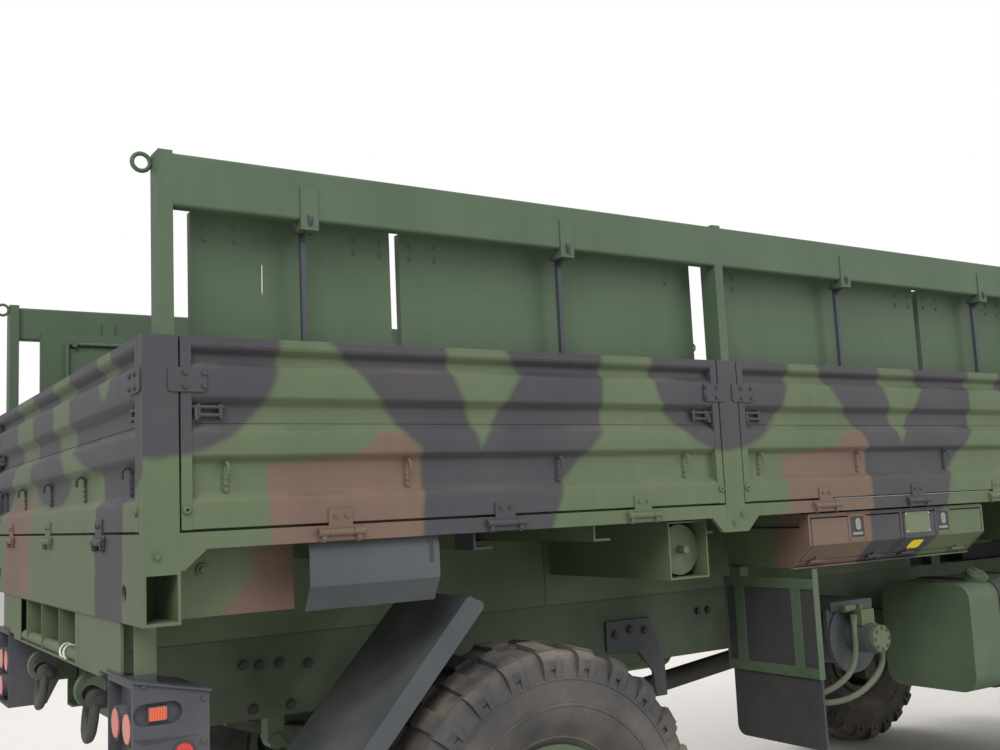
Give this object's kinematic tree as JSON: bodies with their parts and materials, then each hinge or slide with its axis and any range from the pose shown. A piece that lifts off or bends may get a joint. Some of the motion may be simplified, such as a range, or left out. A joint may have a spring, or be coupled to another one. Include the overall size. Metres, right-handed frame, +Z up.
{
  "type": "four wheel drive military cargo truck",
  "caption": "Cab-over military cargo truck with fold-down ribbed sides and tailgate, racks, folding bench seats, steered front wheels and a tilting cab.",
  "frame": {"origin": "on the ground under the middle of the truck's length and width", "axes": "+X forward, +Y left, +Z up"},
  "size_m": [6.406, 2.95, 2.66],
  "materials": {
    "camouflage_paint": "matt green, brown and black camouflage paint",
    "green_paint": "matt green paint",
    "chassis_paint": "matt green paint, dusty",
    "cast_metal": "painted castings",
    "tyre": "dusty rubber",
    "glass": "clear",
    "seat_fabric": "woven cover",
    "black_plastic": "grained"
  },
  "bodies": {
    "chassis": {"frame_rails": "chassis_paint", "frame_crossmembers": "chassis_paint", "rear_axle": "chassis_paint", "front_axle": "chassis_paint", "drivetrain": "cast_metal", "fuel_tank": "green_paint", "left_boxes": "green_paint", "front_bumper": "camouflage_paint", "bed_floor": "green_paint", "bed_frame": "camouflage_paint", "racks": "green_paint", "tail_boxes": "camouflage_paint", "mudguards": "green_paint", "stowage_box": "camouflage_paint", "winch": "chassis_paint", "stack": "green_paint"},
    "cab": {"cab_shell": "camouflage_paint", "cab_glass": "glass", "grille": "green_paint", "cab_seats": "seat_fabric", "dashboard": "black_plastic"},
    "steering_wheel": {"steering_wheel": "black_plastic"},
    "cab_door_right": {"door_right": "camouflage_paint", "door_glass_right": "glass"},
    "cab_door_left": {"door_left": "camouflage_paint", "door_glass_left": "glass"},
    "knuckle_right": {"knuckle_right": "chassis_paint"},
    "knuckle_left": {"knuckle_left": "chassis_paint"},
    "dropside_right_rear": {"dropside_right_rear": "camouflage_paint"},
    "dropside_right_front": {"dropside_right_front": "camouflage_paint"},
    "dropside_left_rear": {"dropside_left_rear": "camouflage_paint"},
    "dropside_left_front": {"dropside_left_front": "camouflage_paint"},
    "tailgate": {"tailgate": "camouflage_paint"},
    "seat_right": {"seat_right": "green_paint"},
    "seat_left": {"seat_left": "green_paint"},
    "seat_legs_right": {"seat_legs_right": "green_paint"},
    "seat_legs_left": {"seat_legs_left": "green_paint"},
    "stowage_door_rear": {"stowage_door_rear": "camouflage_paint"},
    "stowage_door_front": {"stowage_door_front": "camouflage_paint"},
    "wheel_rear_right": {"tyre_rear_right": "tyre", "rim_rear_right": "green_paint"},
    "wheel_rear_left": {"tyre_rear_left": "tyre", "rim_rear_left": "green_paint"},
    "wheel_front_right": {"tyre_front_right": "tyre", "rim_front_right": "green_paint"},
    "wheel_front_left": {"tyre_front_left": "tyre", "rim_front_left": "green_paint"}
  },
  "joints": [
    {"name": "steer_right", "type": "hinge", "parent": "chassis", "child": "knuckle_right", "pos_m": [2.007, -0.9, 0.589], "axis": [0, 0, 1], "range_deg": [-28, 28]},
    {"name": "steer_left", "type": "hinge", "parent": "chassis", "child": "knuckle_left", "pos_m": [2.007, 0.9, 0.589], "axis": [0, 0, 1], "range_deg": [-28, 28]},
    {"name": "wheel_rear_right", "type": "hinge", "parent": "chassis", "child": "wheel_rear_right", "pos_m": [-1.893, -0.9925, 0.589], "axis": [0, 1, 0], "continuous": true},
    {"name": "wheel_rear_left", "type": "hinge", "parent": "chassis", "child": "wheel_rear_left", "pos_m": [-1.893, 0.9925, 0.589], "axis": [0, 1, 0], "continuous": true},
    {"name": "wheel_front_right", "type": "hinge", "parent": "knuckle_right", "child": "wheel_front_right", "pos_m": [2.007, -0.9925, 0.589], "axis": [0, 1, 0], "continuous": true},
    {"name": "wheel_front_left", "type": "hinge", "parent": "knuckle_left", "child": "wheel_front_left", "pos_m": [2.007, 0.9925, 0.589], "axis": [0, 1, 0], "continuous": true},
    {"name": "cab_tilt", "type": "hinge", "parent": "chassis", "child": "cab", "pos_m": [3.033, 0, 1.03], "axis": [0, 1, 0], "range_deg": [0, 55]},
    {"name": "cab_door_right", "type": "hinge", "parent": "cab", "child": "cab_door_right", "pos_m": [3.003, -1.207, 1.5], "axis": [0, 0, -1], "range_deg": [-70, 0]},
    {"name": "cab_door_left", "type": "hinge", "parent": "cab", "child": "cab_door_left", "pos_m": [3.003, 1.207, 1.5], "axis": [0, 0, 1], "range_deg": [-70, 0]},
    {"name": "steering_column", "type": "hinge", "parent": "cab", "child": "steering_wheel", "pos_m": [2.58596, 0.76, 1.90892], "axis": [-0.7745, 0, 0.6325], "range_deg": [-448, 448]},
    {"name": "dropside_right_rear", "type": "hinge", "parent": "chassis", "child": "dropside_right_rear", "pos_m": [0, -1.224, 1.574], "axis": [1, 0, 0], "range_deg": [0, 180]},
    {"name": "dropside_right_front", "type": "hinge", "parent": "chassis", "child": "dropside_right_front", "pos_m": [0, -1.224, 1.574], "axis": [1, 0, 0], "range_deg": [0, 180]},
    {"name": "dropside_left_rear", "type": "hinge", "parent": "chassis", "child": "dropside_left_rear", "pos_m": [0, 1.224, 1.574], "axis": [-1, 0, 0], "range_deg": [0, 180]},
    {"name": "dropside_left_front", "type": "hinge", "parent": "chassis", "child": "dropside_left_front", "pos_m": [0, 1.224, 1.574], "axis": [-1, 0, 0], "range_deg": [0, 180]},
    {"name": "tailgate", "type": "hinge", "parent": "chassis", "child": "tailgate", "pos_m": [-3.192, 0, 1.574], "axis": [0, -1, 0], "range_deg": [0, 180]},
    {"name": "seat_right", "type": "hinge", "parent": "chassis", "child": "seat_right", "pos_m": [0, -1.125, 2.06], "axis": [-1, 0, 0], "range_deg": [0, 90]},
    {"name": "seat_legs_right", "type": "hinge", "parent": "seat_right", "child": "seat_legs_right", "pos_m": [0, -1.066, 2.44], "axis": [-1, 0, 0], "range_deg": [-90, 0]},
    {"name": "seat_left", "type": "hinge", "parent": "chassis", "child": "seat_left", "pos_m": [0, 1.125, 2.06], "axis": [1, 0, 0], "range_deg": [0, 90]},
    {"name": "seat_legs_left", "type": "hinge", "parent": "seat_left", "child": "seat_legs_left", "pos_m": [0, 1.066, 2.44], "axis": [1, 0, 0], "range_deg": [-90, 0]},
    {"name": "stowage_door_rear", "type": "hinge", "parent": "chassis", "child": "stowage_door_rear", "pos_m": [0, -1.13063, 1.35825], "axis": [-1, 0, 0], "range_deg": [-100, 0]},
    {"name": "stowage_door_front", "type": "hinge", "parent": "chassis", "child": "stowage_door_front", "pos_m": [0, -1.13063, 1.35825], "axis": [-1, 0, 0], "range_deg": [-100, 0]}
  ],
  "couplings": [
    {"joint": "steer_left", "follows": "steer_right", "ratio": 1},
    {"joint": "steering_column", "follows": "steer_right", "ratio": 16},
    {"joint": "seat_legs_right", "follows": "seat_right", "ratio": -1},
    {"joint": "seat_legs_left", "follows": "seat_left", "ratio": -1}
  ]
}
